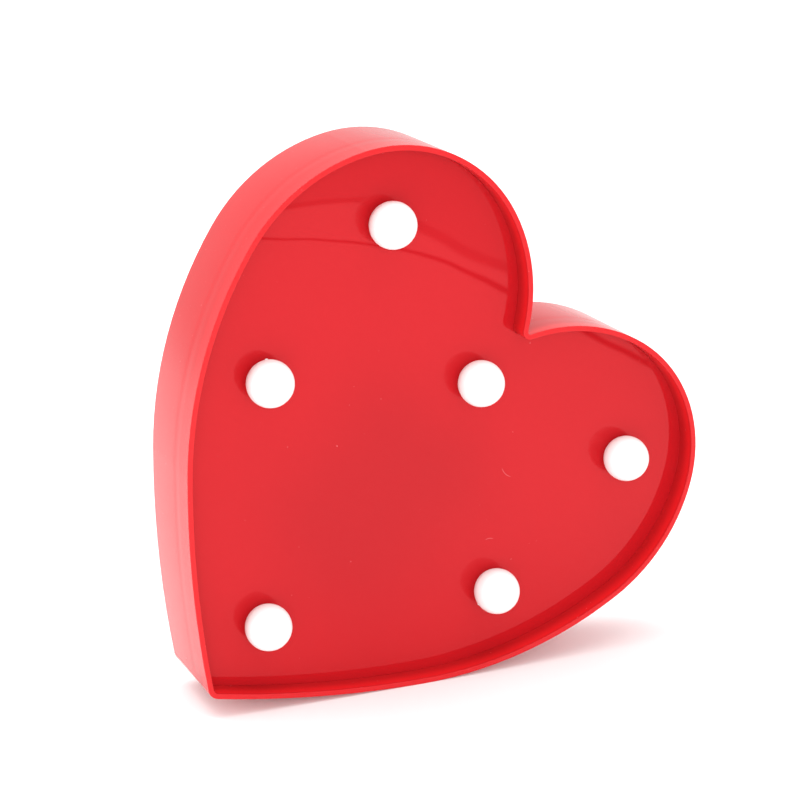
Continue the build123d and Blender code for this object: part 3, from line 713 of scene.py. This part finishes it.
# %% Sleeve finish
def cell_finish(name, base, axis):
    """The finish of one cell, measured from its flat end's middle along its own axis."""
    sleeve = Finish(name, IOR=1.5)
    along = sleeve.along(axis, base) / millimetre
    _, depth, _ = sleeve.parts(sleeve.place())
    outward = (depth - base.y) / millimetre
    sideways = sleeve.along(upward, base) / millimetre
    from_axis = (outward**2 + sideways**2) ** 0.5
    can_mm = can_length / millimetre
    radius_mm = cell_radius / millimetre
    printed = sleeve.band(from_axis, radius_mm - 0.5, radius_mm - 0.3)
    band_edge = sleeve.band(along, can_mm * 0.70, can_mm * 0.70 + 0.1)
    scuff = sleeve.band(sleeve.noise(0.003, detail=4.0, roughness=0.7), 0.58, 0.70)
    colour = sleeve.blend(band_edge, (0.030, 0.034, 0.040), (0.66, 0.67, 0.68))
    facing = sleeve.band(outward, 0.0, 0.5)

    def bar(centre, half_along, half_sideways):
        """A printed bar, as a share from 0 to 1, on the side of the cell that faces the door."""
        inside_along = sleeve.band(abs(along - centre), half_along, half_along + 0.05, 1.0, 0.0)
        inside_side = sleeve.band(abs(sideways), half_sideways, half_sideways + 0.05, 1.0, 0.0)
        return inside_along * inside_side * facing

    plus = bar(can_mm - 7.0, 2.0, 0.45).maximum(bar(can_mm - 7.0, 0.45, 2.0))
    minus = bar(6.0, 0.45, 2.0)
    colour = sleeve.blend(plus, colour, (0.02, 0.02, 0.022))
    colour = sleeve.blend(minus, colour, (0.70, 0.71, 0.72))
    steel = sleeve.blend(scuff, (0.60, 0.59, 0.56), (0.45, 0.44, 0.42))
    sleeve.surface(
        Base_Color=sleeve.blend(printed, steel, colour),
        Metallic=1.0 - printed,
        Roughness=0.24 + scuff * 0.14,
        Normal=sleeve.bump(scuff, 0.01 * millimetre),
    )
    return sleeve


# %% Two turned cells
for name, direction in (("battery_1", across), ("battery_2", -across)):
    start = node_span(name, direction)[0]
    level = sum(node_span(name, upward)) / 2
    base = direction * start + upward * level
    base.y = cell_axis_y
    finish = cell_finish(f"cell_jacket_{name[-1]}", base, direction)
    piece = grid_piece(f"cell_{name[-1]}", turned(cell_profile, base, direction), finish)
    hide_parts(name)
    print(piece.name, "faces:", len(piece.data.polygons))

# %% [markdown]
# ## Gate marks on the bulbs
#
# Each bulb is moulded through a small gate on its side, which leaves a nub where it was cut off.
# The bulbs are pressed in without lining them up, so each nub points its own way, given as
# degrees from straight up towards x, and leans a little backward. A nub is a low dome: its
# radius falls with height as the root of one minus the height's share squared. A flat root
# closes it inside the bulb's wall.

# %% One nub on each bulb
nub_radius = 0.55 * millimetre
nub_height = 0.40 * millimetre
nub_root = 0.20 * millimetre
globe_radius = (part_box("bulb_cap_1")[1].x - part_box("bulb_cap_1")[0].x) / 2
nub_turns = {"bulb_cap_1": 160, "bulb_cap_2": -2, "bulb_cap_3": 205, "bulb_cap_4": 120,
             "bulb_cap_5": 185, "bulb_cap_6": 230}
rise = np.linspace(0.0, 1.0, 8)
nub_profile = np.stack([rise * nub_height, nub_radius * np.sqrt(1 - rise**2)], axis=1)
nub_profile = np.vstack([[-nub_root, 0.0], [-nub_root, nub_radius], nub_profile])
for name, turn in nub_turns.items():
    low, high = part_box(name)
    centre = (low + high) / 2
    centre.y = low.y + globe_radius
    outward = Vector((sin(radians(turn)), 0.34, cos(radians(turn)))).normalized()
    base = centre + outward * (globe_radius - 0.03 * millimetre)
    grid_piece(f"gate_nub_{name[-1]}", turned(nub_profile, base, outward, 20), opal)
print("gate nubs:", len(nub_turns))

# %% [markdown]
# ## Raised lettering at the switch
#
# ON and OFF are cut into the mould, so they stand not quite half a millimetre proud of the cover.
# Blender's own font gives the letters as curves; they are made a mesh first, and only then
# carried to their place, so that the piece's object stays at the origin. A capital is about
# seven tenths of the font's size, and a small offset thickens the strokes.

# %% Raised text on the cover
reading_right = -across
letter_height = 3.4 * millimetre
letter_root = 0.05 * millimetre


def raised_text(name, words, place):
    """Letters standing proud of the cover, centred at a place and read from behind."""
    curve = bpy.data.curves.new(name, "FONT")
    curve.body = words
    curve.align_x = "CENTER"
    curve.align_y = "CENTER"
    curve.size = letter_height / 0.7
    curve.offset = letter_height * 0.02
    curve.extrude = (letter_proud + letter_root) / 2
    curve.resolution_u = 6
    holder = bpy.data.objects.new(name, curve)
    scene.collection.objects.link(holder)
    bpy.context.view_layer.update()
    solid = holder.evaluated_get(bpy.context.evaluated_depsgraph_get())
    mesh = bpy.data.meshes.new_from_object(solid)
    bpy.data.objects.remove(holder)
    turn = Matrix((reading_right, upward, backward)).transposed().to_4x4()
    middle_depth = cover_face + (letter_proud - letter_root) / 2
    mesh.transform(Matrix.Translation((place.x, middle_depth, place.z)) @ turn)
    mesh.materials.clear()
    mesh.materials.append(red_satin.material)
    piece = bpy.data.objects.new(name, mesh)
    scene.collection.objects.link(piece)
    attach(piece, "light")
    return piece


lever_low, lever_high = node_span("switch_lever", across)
lever_travel = joints["switch_slide"]["range_m"][1]
slot_middle = (lever_low + lever_high + lever_travel) / 2 - keyhole.dot(across)
lever_level = sum(node_span("switch_lever", upward)) / 2 - keyhole.dot(upward)
text_gap = 10.5 * millimetre
raised_text("mark_on", "ON", heart_place(slot_middle + text_gap, lever_level, cover_face))
raised_text("mark_off", "OFF", heart_place(slot_middle - text_gap, lever_level, cover_face))
print("switch marks at, mm across:", round((slot_middle + text_gap) / millimetre, 2),
      round((slot_middle - text_gap) / millimetre, 2))

# %% [markdown]
# ## The floor
#
# A sheet of pale paper, which is staging and not part of the light. It glows faintly, and more
# so far off, where the lamps don't reach, so that it stays as pale as the dome. The glossy face
# is to mirror two dark lines with a greyer ground beyond, as a paper's edge to the right, out of
# sight, would show. A floor with that edge drawn on it would look untidy from every other side,
# so the edge is a painted reflection: a separate thin card that only mirrored rays can see.

# %% Paper floor
def flat_grid(name, x_range, y_range, height, steps=8):
    """A level grid: the point at (u, v) is (u, v, height)."""
    u, v = np.meshgrid(np.linspace(*x_range, steps + 1), np.linspace(*y_range, steps + 1),
                       indexing="ij")
    points = np.stack([u, v, np.full_like(u, height)], axis=-1).reshape(-1, 3)
    i, j = np.meshgrid(np.arange(steps), np.arange(steps), indexing="ij")
    corner = (i * (steps + 1) + j).reshape(-1)
    faces = np.stack([corner, corner + steps + 1, corner + steps + 2, corner + 1], axis=1)
    mesh = bpy.data.meshes.new(name)
    mesh.from_pydata(points.tolist(), [], faces.tolist())
    sheet = bpy.data.objects.new(name, mesh)
    scene.collection.objects.link(sheet)
    return sheet


paper = Finish("paper", Roughness=0.9, Emission_Strength=1.0)
tooth = paper.noise(0.0008, detail=3.0)
u, v, _ = paper.parts(paper.place())
far = paper.band((u**2 + v**2) ** 0.5, 0.35, 1.1)
paper.surface(
    Base_Color=paper.blend(paper.noise(0.3), (0.90, 0.90, 0.90), (0.92, 0.92, 0.92)),
    Emission_Color=paper.blend(far, (0.06, 0.06, 0.06), (0.20, 0.20, 0.20)),
    Normal=paper.bump(tooth, 0.02 * millimetre),
)
floor = flat_grid("floor", (-4.0, 4.0), (-4.0, 4.0), 0.0)
floor.data.materials.append(paper.material)
print("floor faces:", len(floor.data.polygons))

# %% A painted reflection of a paper's edge, for mirrored rays alone
edge_reflection_card = Finish("paper_edge", Roughness=0.9)
u, v, _ = edge_reflection_card.parts(edge_reflection_card.place())


def outer_corner(first, second, softness):
    """The larger of two distances, rounded over where they are nearly equal."""
    return edge_reflection_card.node(
        "ShaderNodeMath", {"operation": "SMOOTH_MAX"}, {0: first, 1: second, 2: softness}
    )


slanted = u * 0.65 - v * 0.76
hem_right, hem_slant = 0.258, 0.626
border_right, border_front = 0.279, 0.745
hem = outer_corner(u - hem_right, slanted - hem_slant, 0.06)
border = outer_corner(u - border_right, 0.0 - v - border_front, 0.03)
ground = edge_reflection_card.band(border, -0.003, 0.006)
hem_line = edge_reflection_card.band(abs(hem), 0.001, 0.006, 1.0, 0.0)
border_line = edge_reflection_card.band(abs(border), 0.002, 0.011, 1.0, 0.0) * 0.8
lines = hem_line.maximum(border_line)
# Painted reflection: dark lines and a grey ground, seen only in the glossy face.
edge_reflection_card.surface(
    Base_Color=edge_reflection_card.blend(lines, (0.68, 0.68, 0.68), (0.08, 0.08, 0.08)),
    Alpha=ground.maximum(lines),
)
card = flat_grid("paper_edge", (0.15, 1.2), (-1.6, -0.2), 0.5 * millimetre)
card.data.materials.append(edge_reflection_card.material)
card.visible_camera = False
card.visible_diffuse = False
card.visible_shadow = False
print("mirrored card faces:", len(card.data.polygons))
